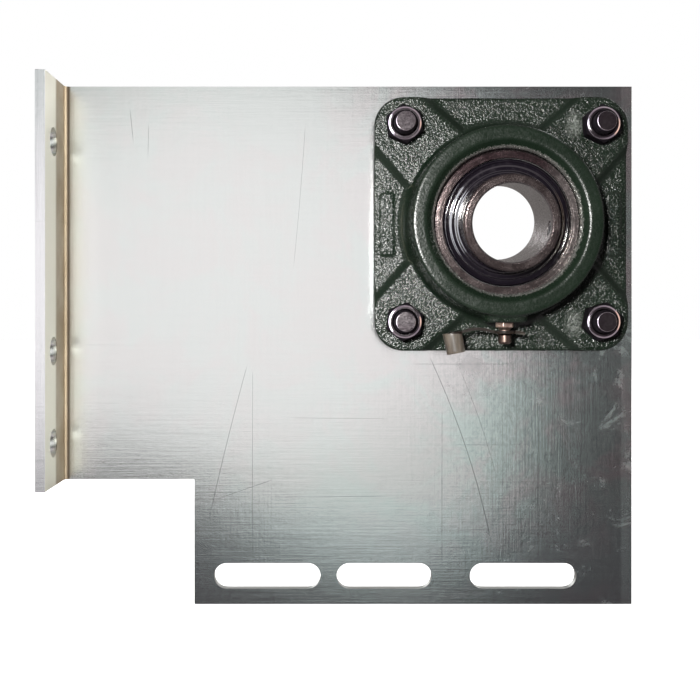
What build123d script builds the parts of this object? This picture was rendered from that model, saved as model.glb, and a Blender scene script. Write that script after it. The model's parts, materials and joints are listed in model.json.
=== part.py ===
"""A flange mount bearing bolted to a bent sheet-steel end plate.

The frame: +X right, +Z up, +Y from the front of the object to its back. The origin is the centre of
the spherical seat, on the shaft's axis. Heights called "forward" are measured from the origin towards
the front, along -Y. All sizes are in millimetres.
"""
from build123d import *
import os
from math import cos, radians, sin, sqrt

# Bent end plate
PLATE_T = 4.0
PLATE_FRONT = -18.0  # forward position of the plate's front face
PLATE_BACK = PLATE_FRONT - PLATE_T
PLATE_RIGHT = 59.0
PLATE_TOP = 61.0
PLATE_BOTTOM = -165.0
FLANGE_OUTER_X = -192.5
FLANGE_WIDTH = 34.0  # from the plate's front face to the flange's free edge
BEND_INNER_R = 2.2
CUT_RIGHT_X = -132.0
CUT_TOP_Z = -110.5
EDGE_ROUND = 0.35
SHAFT_CLEARANCE_R = 25.4
FLANGE_HOLE_R = 6.0
FLANGE_HOLE_FORWARD = 1.5
FLANGE_HOLE_Z = (33.9, -53.8, -92.3)
TRIM_DEPTH = 0.5  # the sheared step along the flange's free edge
TRIM_Z = (-53.6, -0.5)
SLOT_H = 11.1
SLOT_Z = -152.7
SLOTS = ((-100.1, 46.5), (-49.1, 41.5), (11.6, 46.5))  # centre X, overall length

# Four-bolt housing
HOUSING_SIDE = 108.0
HOUSING_CORNER_R = 12.5
BOLT_SPACING = 83.0
BOLT_HOLE_R = 5.55
PAD_FORWARD = -5.0
POCKET_DEPTH = 3.0
POCKET_SLOPE = 48.0
RIM_FORWARD = 13.0
RIM_OUTER_R = 39.3
RIM_INNER_R = 33.5
SEAT_R = 31.05
SEAT_HALF_LENGTH = 9.3
REAR_OPENING_R = 31.5
NOTCH_WIDTH = 19.6
NOTCH_R = 31.4
GROOVE_FORWARD = (2.0, 6.5)
GROOVE_R = 32.3
GREASE_HOLE_R = 1.1

# Insert bearing, drawn square to its own axis and tilted in the seat
TILT = 4.5
RING_R = 31.0
RING_HALF_WIDTH = 9.5
BORE_R = 15.875
INNER_R = 19.6
INNER_FRONT = 22.2
INNER_REAR = -15.9
BALL_R = 4.7625
BALL_COUNT = 9
PITCH_R = 23.0
RACE_R = 4.95
RACE_GAP = 0.03
SHOULDER_R = 26.0
SEAL_BORE_R = 26.5
SEAL_INNER = 6.4
CAGE_R = (20.9, 25.1)
CAGE_T = 0.7
CAGE_GAP = 0.12
RIVET_R = 0.8
SCREW_R = 3.0
SCREW_LENGTH = 3.3
SCREW_TIP_R = 16.1
SCREW_FORWARD = 17.2
SCREW_ANGLES = (-8.0, 112.0)

# Fasteners
BOLT_R = 4.7625
HEX_AF = 14.29
NUT_T = 8.3
HEAD_T = 6.2
BOLT_END_FORWARD = 8.5
NUT_TURNS = (37.0, 33.0, 23.0, 17.0)  # how far each nut happens to be turned, in degrees

# Grease nipple and its cap
NIPPLE_FORWARD = 3.5
BOSS_BOTTOM_Z = -41.8
SHANK_R = 3.0
NECK_R = 2.1
NIPPLE_HEAD_R = 2.75
NIPPLE_TIP_Z = -50.8
PASSAGE_R = 1.3
CHECK_BALL_R = 1.2
CHECK_BALL_Z = -48.6
TIP_HOLE_R = 0.8
SPRING_TOP_Z = -42.42
SPRING_WIRE_R = 0.16
CAP_TOP = (-21.95, -45.9)
CAP_LENGTH = 8.8
CAP_LEAN = 11.3
CAP_R = 4.1
STRAP_HALF_WIDTH = 1.7
STRAP_T = 1.2

INSERT_FORWARD = (0, -cos(radians(TILT)), -sin(radians(TILT)))
INSERT_AXIS = Axis((0, 0, 0), INSERT_FORWARD)
INSERT = Plane(origin=(0, 0, 0), x_dir=(1, 0, 0), z_dir=INSERT_FORWARD)
INSERT_SECTION = Plane(origin=(0, 0, 0), x_dir=(1, 0, 0), z_dir=(0, sin(radians(TILT)), -cos(radians(TILT))))
SEAT_AXIS = Axis((0, 0, 0), (0, -1, 0))
SEAT_SECTION = Plane(origin=(0, 0, 0), x_dir=(1, 0, 0), z_dir=(0, 0, -1))
NIPPLE_AXIS = Axis((0, -NIPPLE_FORWARD, 0), (0, 0, 1))
NIPPLE_SECTION = Plane.XZ.offset(NIPPLE_FORWARD)
BOLT_PLACES = [(x, z) for z in (BOLT_SPACING / 2, -BOLT_SPACING / 2) for x in (-BOLT_SPACING / 2, BOLT_SPACING / 2)]


def save(piece, name):
    """Label one finished sub-part and write it."""
    piece.part.label = name
    export_step(piece.part, f"parts/{name}.step")


def bracket_plate():
    """The end plate: one sheet with a bent flange, a cut-away corner, holes and slots."""
    with BuildPart() as plate:
        with BuildSketch(Plane.XY.offset(PLATE_BOTTOM)) as section:
            with Locations(((PLATE_RIGHT + FLANGE_OUTER_X) / 2, -(PLATE_FRONT + PLATE_BACK) / 2)):
                Rectangle(PLATE_RIGHT - FLANGE_OUTER_X, PLATE_T)
            with Locations((FLANGE_OUTER_X + PLATE_T / 2, -PLATE_BACK)):
                Rectangle(PLATE_T, FLANGE_WIDTH + PLATE_T, align=(Align.CENTER, Align.MAX))
            inner = (FLANGE_OUTER_X + PLATE_T, -PLATE_FRONT, PLATE_BOTTOM)
            fillet(section.vertices().sort_by_distance(inner)[0], BEND_INNER_R)
            outer = (FLANGE_OUTER_X, -PLATE_BACK, PLATE_BOTTOM)
            fillet(section.vertices().sort_by_distance(outer)[0], BEND_INNER_R + PLATE_T)
        extrude(amount=PLATE_TOP - PLATE_BOTTOM)
        with BuildSketch(Plane.XZ.offset(PLATE_BACK - 1)):
            with Locations((CUT_RIGHT_X, CUT_TOP_Z)):
                Rectangle(100, 100, align=(Align.MAX, Align.MAX))
        extrude(amount=FLANGE_WIDTH + PLATE_T + 2, mode=Mode.SUBTRACT)
        with BuildSketch(Plane.YZ.offset(FLANGE_OUTER_X - 1)):
            with Locations((-PLATE_FRONT - FLANGE_WIDTH, sum(TRIM_Z) / 2)):
                Rectangle(2 * TRIM_DEPTH, TRIM_Z[1] - TRIM_Z[0])
        extrude(amount=PLATE_T + 2, mode=Mode.SUBTRACT)
        fillet(plate.faces().sort_by(Axis.Y)[-1].outer_wire().edges(), EDGE_ROUND)
        with BuildSketch(Plane.XZ.offset(PLATE_BACK - 1)):
            Circle(SHAFT_CLEARANCE_R)
            with Locations(*BOLT_PLACES):
                Circle(BOLT_HOLE_R)
            for centre_x, length in SLOTS:
                with Locations((centre_x, SLOT_Z)):
                    SlotOverall(length, SLOT_H)
        extrude(amount=PLATE_T + 2, mode=Mode.SUBTRACT)
        with BuildSketch(Plane.YZ.offset(FLANGE_OUTER_X - 1)):
            with Locations(*[(-FLANGE_HOLE_FORWARD, z) for z in FLANGE_HOLE_Z]):
                Circle(FLANGE_HOLE_R)
        extrude(amount=PLATE_T + 2, mode=Mode.SUBTRACT)
    return plate


def housing():
    """The cast square-flange housing with its raised corner pads, round boss and spherical seat."""
    with BuildPart() as cast:
        with BuildSketch(Plane.XZ.offset(PLATE_FRONT)):
            RectangleRounded(HOUSING_SIDE, HOUSING_SIDE, HOUSING_CORNER_R)
        extrude(amount=PAD_FORWARD - PLATE_FRONT)
        with BuildSketch(Plane.XZ.offset(PAD_FORWARD)):
            with PolarLocations(0, 4):
                Polygon((25.7, 2.6), (65.3, 47.8), (65.3, -47.8), (25.7, -2.6), align=None)
        extrude(amount=-POCKET_DEPTH, taper=POCKET_SLOPE, mode=Mode.SUBTRACT)
        with BuildSketch(SEAT_SECTION):
            with BuildLine():
                Polyline((20, PLATE_FRONT), (20, RIM_FORWARD), (RIM_OUTER_R - 0.8, RIM_FORWARD))
                RadiusArc((RIM_OUTER_R - 0.8, RIM_FORWARD), (RIM_OUTER_R, RIM_FORWARD - 0.8), 0.8)
                Line((RIM_OUTER_R, RIM_FORWARD - 0.8), (RIM_OUTER_R + 1.4, -3))
                RadiusArc((RIM_OUTER_R + 1.4, -3), (RIM_OUTER_R + 5.2, -8), -6)
                Polyline((RIM_OUTER_R + 5.2, -8), (RIM_OUTER_R + 5.2, PLATE_FRONT), (20, PLATE_FRONT))
            make_face()
        revolve(axis=SEAT_AXIS)
        with BuildSketch(Plane.XY.offset(BOSS_BOTTOM_Z)):
            with Locations((0, -NIPPLE_FORWARD)):
                RectangleRounded(17.5, 15, 5)
        extrude(amount=10, taper=-8)
        seat_edge_r = sqrt(SEAT_R**2 - SEAT_HALF_LENGTH**2)
        with BuildSketch(SEAT_SECTION):
            with BuildLine():
                Polyline((0, RIM_FORWARD + 1), (RIM_INNER_R, RIM_FORWARD + 1), (RIM_INNER_R, RIM_FORWARD))
                Polyline((RIM_INNER_R, RIM_FORWARD), (30.4, 9.9), (seat_edge_r, SEAT_HALF_LENGTH))
                ThreePointArc((seat_edge_r, SEAT_HALF_LENGTH), (SEAT_R, 0), (seat_edge_r, -SEAT_HALF_LENGTH))
                Polyline(
                    (seat_edge_r, -SEAT_HALF_LENGTH),
                    (REAR_OPENING_R, -SEAT_HALF_LENGTH - 1.2),
                    (REAR_OPENING_R, PLATE_FRONT - 1),
                    (0, PLATE_FRONT - 1),
                    (0, RIM_FORWARD + 1),
                )
            make_face()
        revolve(axis=SEAT_AXIS, mode=Mode.SUBTRACT)
        with BuildSketch(Plane.XZ):
            Circle(NOTCH_R)
            Rectangle(NOTCH_WIDTH, 2 * NOTCH_R, mode=Mode.INTERSECT)
        extrude(amount=PLATE_FRONT, mode=Mode.SUBTRACT)
        with BuildSketch(SEAT_SECTION):
            with Locations((GROOVE_R, sum(GROOVE_FORWARD) / 2)):
                Rectangle(4, GROOVE_FORWARD[1] - GROOVE_FORWARD[0], align=(Align.MAX, Align.CENTER))
        revolve(axis=SEAT_AXIS, mode=Mode.SUBTRACT)
        with BuildSketch(Plane.XY.offset(BOSS_BOTTOM_Z - 1)):
            with Locations((0, -NIPPLE_FORWARD)):
                Circle(SHANK_R + 0.02)
        extrude(amount=7.5, mode=Mode.SUBTRACT)
        with BuildSketch(Plane.XY.offset(BOSS_BOTTOM_Z)):
            with Locations((0, -NIPPLE_FORWARD)):
                Circle(GREASE_HOLE_R)
        extrude(amount=13, mode=Mode.SUBTRACT)
        with BuildSketch(Plane.XZ.offset(PLATE_FRONT - 1)):
            with Locations(*BOLT_PLACES):
                Circle(BOLT_HOLE_R)
        extrude(amount=PAD_FORWARD - PLATE_FRONT + 2, mode=Mode.SUBTRACT)
    return cast


def outer_ring():
    """The insert's outer ring: a spherical outside, a ball groove and a step for each seal."""
    face_r = sqrt(RING_R**2 - RING_HALF_WIDTH**2)
    with BuildPart() as ring:
        with BuildSketch(INSERT_SECTION):
            with BuildLine():
                ThreePointArc((face_r, RING_HALF_WIDTH), (RING_R, 0), (face_r, -RING_HALF_WIDTH))
                Polyline(
                    (face_r, -RING_HALF_WIDTH),
                    (SEAL_BORE_R, -RING_HALF_WIDTH),
                    (SEAL_BORE_R, -SEAL_INNER),
                    (SHOULDER_R, -SEAL_INNER),
                    (SHOULDER_R, SEAL_INNER),
                    (SEAL_BORE_R, SEAL_INNER),
                    (SEAL_BORE_R, RING_HALF_WIDTH),
                    (face_r, RING_HALF_WIDTH),
                )
            make_face()
        revolve(axis=INSERT_AXIS)
        with BuildSketch(INSERT_SECTION):
            with Locations((PITCH_R + BALL_R + RACE_GAP - RACE_R, 0)):
                Circle(RACE_R)
        revolve(axis=INSERT_AXIS, mode=Mode.SUBTRACT)
        with BuildSketch(Plane(INSERT.origin, x_dir=(1, 0, 0), z_dir=-INSERT.y_dir)):
            with Locations((0, 5.1)):
                Circle(0.8)
        extrude(amount=RING_R + 1, mode=Mode.SUBTRACT)
    return ring


def inner_ring():
    """The wide inner ring with the shaft bore and two holes for the set screws."""
    bevel = 0.7
    with BuildPart() as ring:
        with BuildSketch(INSERT_SECTION):
            Polygon(
                (BORE_R, INNER_REAR + bevel),
                (BORE_R + bevel, INNER_REAR),
                (INNER_R - bevel, INNER_REAR),
                (INNER_R, INNER_REAR + bevel),
                (INNER_R, INNER_FRONT - bevel),
                (INNER_R - bevel, INNER_FRONT),
                (BORE_R + bevel, INNER_FRONT),
                (BORE_R, INNER_FRONT - bevel),
                align=None,
            )
        revolve(axis=INSERT_AXIS)
        with BuildSketch(INSERT_SECTION):
            with Locations((PITCH_R - BALL_R - RACE_GAP + RACE_R, 0)):
                Circle(RACE_R)
        revolve(axis=INSERT_AXIS, mode=Mode.SUBTRACT)
        for angle in SCREW_ANGLES:
            with BuildSketch(screw_plane(angle)):
                Circle(SCREW_R + 0.03)
            extrude(amount=INNER_R + 1, mode=Mode.SUBTRACT)
    return ring


def screw_plane(angle):
    """The plane through the insert's axis whose normal points out along one set screw."""
    outward = INSERT.x_dir * cos(radians(angle)) + INSERT.y_dir * sin(radians(angle))
    return Plane(INSERT.z_dir * SCREW_FORWARD, x_dir=INSERT.z_dir, z_dir=outward)


def set_screw(angle):
    """A socket set screw with a cup point, backed off just clear of the bore."""
    with BuildPart() as screw:
        with BuildSketch(screw_plane(angle).offset(SCREW_TIP_R)):
            Circle(SCREW_R)
        extrude(amount=SCREW_LENGTH)
        chamfer(screw.edges().filter_by(GeomType.CIRCLE), 0.5)
        with BuildSketch(screw_plane(angle).offset(SCREW_TIP_R)):
            Circle(1.2)
        extrude(amount=0.8, taper=30, mode=Mode.SUBTRACT)
        with BuildSketch(screw_plane(angle).offset(SCREW_TIP_R + SCREW_LENGTH)):
            RegularPolygon(1.5, 6, major_radius=False)
        extrude(amount=-1.7, mode=Mode.SUBTRACT)
    return screw


def ball(number):
    """One bearing ball on the pitch circle."""
    angle = radians(360 * number / BALL_COUNT)
    with BuildPart(INSERT) as sphere:
        with Locations((PITCH_R * cos(angle), PITCH_R * sin(angle), 0)):
            Sphere(BALL_R)
    return sphere


def cage_half(side):
    """Half of the stamped ball cage: a flat ring with a round pocket over each ball."""
    inner_r, outer_r = CAGE_R
    with BuildPart(INSERT) as half:
        with PolarLocations(PITCH_R, BALL_COUNT):
            Sphere(BALL_R + CAGE_GAP + CAGE_T)
        with BuildSketch(INSERT):
            Circle(outer_r)
            Circle(inner_r, mode=Mode.SUBTRACT)
        extrude(amount=side * (BALL_R + 2), mode=Mode.INTERSECT)
        with BuildSketch(INSERT):
            Circle(outer_r)
            Circle(inner_r, mode=Mode.SUBTRACT)
        extrude(amount=side * CAGE_T)
        with PolarLocations(PITCH_R, BALL_COUNT):
            Sphere(BALL_R + CAGE_GAP, mode=Mode.SUBTRACT)
        with BuildSketch(INSERT):
            with PolarLocations(PITCH_R, BALL_COUNT, start_angle=180 / BALL_COUNT):
                Circle(RIVET_R + 0.02)
        extrude(amount=2 * side * CAGE_T, mode=Mode.SUBTRACT)
    return half


def cage_rivets():
    """The rivets between the balls, one headed pin for each land of the cage."""
    with BuildPart(INSERT) as rivets:
        with BuildSketch(INSERT.offset(-CAGE_T)):
            with PolarLocations(PITCH_R, BALL_COUNT, start_angle=180 / BALL_COUNT):
                Circle(RIVET_R)
        extrude(amount=2 * CAGE_T)
        for side in (1, -1):
            with BuildSketch(INSERT.offset(side * CAGE_T)):
                with PolarLocations(PITCH_R, BALL_COUNT, start_angle=180 / BALL_COUNT):
                    Circle(1.3)
            extrude(amount=side * 0.5, taper=20)
    return rivets


def seal(side):
    """A lip seal held in the outer ring: side is 1 for the front and -1 for the rear."""
    outline = [(26.48, 6.42), (26.48, 7.6), (25.2, 7.6), (24.9, 7.2), (21.2, 7.2), (20.6, 7.7), (19.66, 7.7)]
    outline += [(19.66, 7.3), (20.4, 6.5), (25.4, 6.6), (25.8, 6.42)]
    with BuildPart() as ring:
        with BuildSketch(INSERT_SECTION):
            Polygon(*[(r, side * forward) for r, forward in outline], align=None)
        revolve(axis=INSERT_AXIS)
    return ring


def slinger(side):
    """A stepped dish pressed on the inner ring in front of a seal, to throw dirt clear."""
    outline = [(19.6, 7.9), (19.6, 10.6), (20.5, 10.6), (20.9, 10.1), (21.4, 9.5), (23.0, 9.5), (23.4, 8.9)]
    outline += [(25.1, 8.9), (25.5, 9.3), (26.2, 9.3), (26.2, 8.0), (23.1, 8.0), (22.7, 8.5), (21.3, 8.5)]
    outline += [(20.8, 7.9)]
    with BuildPart() as dish:
        with BuildSketch(INSERT_SECTION):
            Polygon(*[(r, side * forward) for r, forward in outline], align=None)
        revolve(axis=INSERT_AXIS)
    return dish


def rounded_hex(plane, thickness, turn, both_ends):
    """A hexagonal blank whose corners are turned off by a cone, on one end or on both."""
    corner_r = HEX_AF / sqrt(3)
    flat_r = HEX_AF / 2 - 0.95
    drop = (corner_r - flat_r) * 0.58
    section = [(0, 0), (corner_r + 0.1, 0), (corner_r + 0.1, thickness - drop), (flat_r, thickness), (0, thickness)]
    if both_ends:
        section[1:2] = [(flat_r, 0), (corner_r + 0.1, drop)]
    with BuildPart() as blank:
        with BuildSketch(plane):
            RegularPolygon(HEX_AF / 2, 6, major_radius=False, rotation=turn)
        extrude(amount=thickness)
        with BuildSketch(Plane(plane.origin, x_dir=plane.x_dir, z_dir=-plane.y_dir)):
            Polygon(*section, align=None)
        revolve(axis=Axis(plane.origin, plane.z_dir), mode=Mode.INTERSECT)
    return blank


def nut(centre, turn):
    """A hex nut on one bolt, resting on its corner pad."""
    x, z = centre
    under = Plane(origin=(x, -PAD_FORWARD, z), x_dir=(1, 0, 0), z_dir=(0, -1, 0))
    blank = rounded_hex(under, NUT_T, turn, both_ends=True)
    with BuildPart() as hex_nut:
        add(blank.part)
        with BuildSketch(under):
            Circle(BOLT_R + 0.04)
        extrude(amount=NUT_T, mode=Mode.SUBTRACT)
        chamfer(hex_nut.edges().filter_by(GeomType.CIRCLE).group_by(SortBy.RADIUS)[0], 0.6)
    return hex_nut


def bolt(centre, turn):
    """A hex bolt whose head is behind the plate and whose end stands out of its nut."""
    x, z = centre
    behind = Plane(origin=(x, -PLATE_BACK, z), x_dir=(1, 0, 0), z_dir=(0, 1, 0))
    head = rounded_hex(behind, HEAD_T, turn, both_ends=False)
    with BuildPart() as hex_bolt:
        add(head.part)
        with BuildSketch(behind):
            Circle(BOLT_R)
        extrude(amount=PLATE_BACK - BOLT_END_FORWARD)
        chamfer(hex_bolt.edges().sort_by(Axis.Y)[0], 0.9)
    return hex_bolt


def nipple_body():
    """The grease nipple: threaded shank, hexagon, neck and head, with a stepped grease passage."""
    hex_bottom = BOSS_BOTTOM_Z - 2.0
    with BuildPart() as body:
        with BuildSketch(NIPPLE_SECTION):
            Polygon(
                (0, BOSS_BOTTOM_Z + 6.2),
                (SHANK_R - 0.5, BOSS_BOTTOM_Z + 6.2),
                (SHANK_R, BOSS_BOTTOM_Z + 5.7),
                (SHANK_R, hex_bottom),
                (NECK_R, hex_bottom - 1.2),
                (NECK_R, hex_bottom - 2.8),
                (NIPPLE_HEAD_R, hex_bottom - 3.4),
                (NIPPLE_HEAD_R, hex_bottom - 6.2),
                (NIPPLE_HEAD_R - 0.7, NIPPLE_TIP_Z),
                (0, NIPPLE_TIP_Z),
                align=None,
            )
        revolve(axis=NIPPLE_AXIS)
        with BuildSketch(Plane.XY.offset(hex_bottom)):
            with Locations((0, -NIPPLE_FORWARD)):
                RegularPolygon(3.5, 6, major_radius=False, rotation=12)
        extrude(amount=BOSS_BOTTOM_Z - hex_bottom)
        seat_z = CHECK_BALL_Z - sqrt(CHECK_BALL_R**2 - TIP_HOLE_R**2) - 0.01
        with BuildSketch(NIPPLE_SECTION):
            Polygon(
                (0, BOSS_BOTTOM_Z + 6.2),
                (0.7, BOSS_BOTTOM_Z + 6.2),
                (0.7, SPRING_TOP_Z),
                (PASSAGE_R, SPRING_TOP_Z),
                (PASSAGE_R, seat_z),
                (TIP_HOLE_R, seat_z),
                (TIP_HOLE_R, NIPPLE_TIP_Z),
                (0, NIPPLE_TIP_Z),
                align=None,
            )
        revolve(axis=NIPPLE_AXIS, mode=Mode.SUBTRACT)
    return body


def nipple_ball():
    """The check ball on its seat inside the nipple's tip."""
    with BuildPart() as sphere:
        with Locations((0, -NIPPLE_FORWARD, CHECK_BALL_Z)):
            Sphere(CHECK_BALL_R)
    return sphere


def nipple_spring():
    """The coil spring that holds the check ball on its seat."""
    coil_r = 0.95
    bottom = CHECK_BALL_Z + sqrt((CHECK_BALL_R + SPRING_WIRE_R) ** 2 - coil_r**2) + 0.03
    top = SPRING_TOP_Z - SPRING_WIRE_R - 0.02
    with BuildPart() as spring:
        with BuildLine(Plane((0, -NIPPLE_FORWARD, bottom))):
            Helix(pitch=(top - bottom) / 6, height=top - bottom, radius=coil_r)
        with BuildSketch(Plane((coil_r, -NIPPLE_FORWARD, bottom), x_dir=(1, 0, 0), z_dir=(0, 1, 0))):
            Circle(SPRING_WIRE_R)
        sweep(is_frenet=True)
    return spring


def dust_cap():
    """The plastic cap with its moulded strap, whose ring is snapped round the nipple's neck."""
    top = [(8.2, -45.7), (4.5, -45.25), (-4.0, -45.2), (-10.0, -43.9), (-15.0, -44.3), (-19.5, -45.8)]
    lean = radians(CAP_LEAN)
    downward = (sin(lean), 0, -cos(lean))
    cap_origin = (CAP_TOP[0], -NIPPLE_FORWARD, CAP_TOP[1])
    with BuildPart() as cap:
        with BuildSketch(NIPPLE_SECTION):
            with BuildLine():
                Spline(*top)
                Line(top[-1], (top[-1][0], top[-1][1] - STRAP_T))
                Spline(*[(x, z - STRAP_T) for x, z in reversed(top)])
                Line((top[0][0], top[0][1] - STRAP_T), top[0])
            make_face()
        extrude(amount=STRAP_HALF_WIDTH, both=True)
        with BuildSketch(Plane.XY.offset(-45.2)):
            with Locations((0, -NIPPLE_FORWARD)):
                Circle(4.4)
        extrude(amount=-STRAP_T)
        with BuildSketch(Plane(cap_origin, x_dir=(cos(lean), 0, sin(lean)), z_dir=downward)):
            Circle(CAP_R)
        extrude(amount=CAP_LENGTH, taper=1.3)
        with BuildSketch(Plane.XY.offset(-44)):
            with Locations((0, -NIPPLE_FORWARD)):
                Circle(NECK_R + 0.05)
        extrude(amount=-3.5, mode=Mode.SUBTRACT)
        floor = Vector(*cap_origin) + Vector(*downward) * 1.2
        with BuildSketch(Plane(floor, x_dir=(cos(lean), 0, sin(lean)), z_dir=downward)):
            Circle(CAP_R - 1.1)
        extrude(amount=CAP_LENGTH, mode=Mode.SUBTRACT)
    return cap


os.makedirs("parts", exist_ok=True)
save(bracket_plate(), "bracket_plate")
save(housing(), "housing")
save(outer_ring(), "outer_ring")
save(inner_ring(), "inner_ring")
save(cage_half(1), "cage_front")
save(cage_half(-1), "cage_rear")
save(cage_rivets(), "cage_rivets")
save(seal(1), "front_seal")
save(seal(-1), "rear_seal")
save(slinger(1), "front_slinger")
save(slinger(-1), "rear_slinger")
save(nipple_body(), "nipple_body")
save(nipple_ball(), "nipple_ball")
save(nipple_spring(), "nipple_spring")
save(dust_cap(), "dust_cap")
for number in range(BALL_COUNT):
    save(ball(number), f"ball_{number + 1}")
for number, angle in enumerate(SCREW_ANGLES):
    save(set_screw(angle), f"set_screw_{number + 1}")
for number, (centre, turn) in enumerate(zip(BOLT_PLACES, NUT_TURNS)):
    save(nut(centre, turn), f"nut_{number + 1}")
    save(bolt(centre, 30 - turn), f"bolt_{number + 1}")
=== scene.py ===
"""Looks for the flange mount bearing on its end plate.

All lengths are in metres, in the CAD frame: +X right, +Z up and +Y from the front of the object to its
back. The sheet, casting, nuts, bolts, rings, slingers, nipple and cap are finer meshes that stand for their
CAD pieces. The other pieces are the CAD meshes with a material.
"""
import json
from math import cos, pi, radians, sin, sqrt
import bmesh
import bpy
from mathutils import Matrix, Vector, noise


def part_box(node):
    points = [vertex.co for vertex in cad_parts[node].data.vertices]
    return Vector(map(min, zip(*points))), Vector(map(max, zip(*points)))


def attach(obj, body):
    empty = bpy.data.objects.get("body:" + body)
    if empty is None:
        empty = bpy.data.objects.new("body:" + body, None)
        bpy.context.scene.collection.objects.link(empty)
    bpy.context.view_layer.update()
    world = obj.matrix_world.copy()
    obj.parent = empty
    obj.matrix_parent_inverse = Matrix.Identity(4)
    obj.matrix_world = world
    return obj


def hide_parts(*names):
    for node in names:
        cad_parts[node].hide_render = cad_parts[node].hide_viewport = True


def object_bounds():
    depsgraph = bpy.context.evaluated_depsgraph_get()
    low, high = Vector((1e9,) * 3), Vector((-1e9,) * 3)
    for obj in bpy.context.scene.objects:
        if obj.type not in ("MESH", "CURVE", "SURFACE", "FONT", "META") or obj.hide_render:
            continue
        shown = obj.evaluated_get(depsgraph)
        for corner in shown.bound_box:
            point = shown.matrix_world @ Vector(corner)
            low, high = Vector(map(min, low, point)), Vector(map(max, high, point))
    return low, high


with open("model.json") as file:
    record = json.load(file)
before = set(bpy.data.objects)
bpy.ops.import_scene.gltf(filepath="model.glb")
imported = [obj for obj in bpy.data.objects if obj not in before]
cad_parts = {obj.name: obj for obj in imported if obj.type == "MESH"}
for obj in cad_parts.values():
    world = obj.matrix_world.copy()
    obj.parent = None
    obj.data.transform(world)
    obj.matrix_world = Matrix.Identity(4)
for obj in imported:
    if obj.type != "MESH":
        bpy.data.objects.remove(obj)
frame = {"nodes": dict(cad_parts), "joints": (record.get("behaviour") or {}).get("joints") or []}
cad_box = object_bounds()
MM = 0.001

# Places that the materials and pieces share, read from the frame
PLATE_LOW, PLATE_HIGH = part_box("bracket_plate")
PLATE_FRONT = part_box("housing")[1].y
PLATE_THICK = PLATE_HIGH.y - PLATE_FRONT
FLANGE_INNER_X = PLATE_LOW.x + PLATE_THICK
PAD_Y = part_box("nut_1")[1].y
RIM_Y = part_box("housing")[0].y
BOLT_X = (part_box("nut_2")[0].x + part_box("nut_2")[1].x) / 2

# The insert's own axis, pointing forward, and the direction square to it that points up
SPIN = next(joint for joint in frame["joints"] if joint["name"] == "shaft_spin")
INSERT_FRONT = Vector(SPIN["axis"]).normalized()
if INSERT_FRONT.y > 0:
    INSERT_FRONT = -INSERT_FRONT
INSERT_UP = Vector((1, 0, 0)).cross(INSERT_FRONT) * -1

# Radii about the shaft's axis where the looks change, and the bounds that pick out the seat's wall
BORE_EDGE_R = 16.1 * MM
RING_BORE_R = 25.5 * MM
SEAT_R = 31.8 * MM
SEAT_HALF_LENGTH = 9.6 * MM
BARE_EDGE_R = 32.2 * MM
BOSS_R = 39.0 * MM

# Radii about a bolt's axis outside which grime and painted shade lie, and heights on the nipple and its cap
NUT_GRIME_SHADE_R = 6.75 * MM
BOLT_GRIME_SHADE_R = 3.95 * MM
STRAP_Z = -46.4 * MM
NIPPLE_TIP_Z = -45.9 * MM

# The casting: its mesh size, and a plain raised bar in each side pocket where the real one has lettering
CAST_VOXEL = 0.6 * MM
BAR_X = 48.4 * MM
BAR_HALF_WIDTH = 1.6 * MM
BAR_HALF_LENGTH = 12.0 * MM

# The slingers, in mm. Their face is a collar, two rolled steps and a rolled lip: each roll starts at a
# radius, ends a width further out and brings the face so far forward.
SLINGER_INNER_R = 19.62
SLINGER_OUTER_R = 26.15
SLINGER_COLLAR = 10.55
SLINGER_ROLLS = [(20.2, 1.6, -1.10), (22.7, 1.2, -0.62), (24.6, 0.6, 0.40), (25.3, 0.9, -0.85)]
SLINGER_REAR = 7.95
SLINGER_SHEET = 0.6
SLINGER_SIDES = 144
SLINGER_STEPS = 56

# Scratches on the sheet, in mm. Each has the place across itself, the place along itself where that holds,
# its slope, its bend, its two ends and its width.
SCRATCHES_DOWN = [
    (-108.9, -60.6, 0.275, 0.0004, (-131, -60), 0.20),
    (-29.9, -55.5, -0.47, -0.00164, (-140, -56), 0.26),
    (-16.2, -62.0, -0.43, -0.0019, (-112, -62), 0.11),
    (-106.5, -62.8, 0.004, 0.0, (-146, -62), 0.13),
    (-23.8, -90.0, 0.0, 0.0, (-150, -78), 0.10),
    (-83.0, 52.0, 0.06, -0.0003, (-20, 45), 0.08),
    (-160.0, 50.0, -0.1, 0.0, (34, 52), 0.16),
    (-152.0, 44.0, 0.02, 0.0, (28, 46), 0.12),
    (28.0, -60.0, 0.01, 0.0, (-150, -58), 0.08),
    (34.5, -60.0, 0.0, 0.0, (-118, -70), 0.08),
    (12.5, -60.0, 0.0, 0.0, (-128, -58), 0.07),
]
SCRATCHES_ACROSS = [
    (-60.2, -48.0, 0.0, 0.0, (-40, 8), 0.09),
    (-95.5, 10.0, 0.0, 0.0, (-20, 18), 0.06),
    (-118.0, -60.0, 0.01, 0.0, (-100, -48), 0.05),
    (-84.0, -60.0, -0.01, 0.0, (-92, -46), 0.05),
    (-108.0, -90.0, 0.35, 0.0, (-125, -96), 0.14),
]

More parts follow.
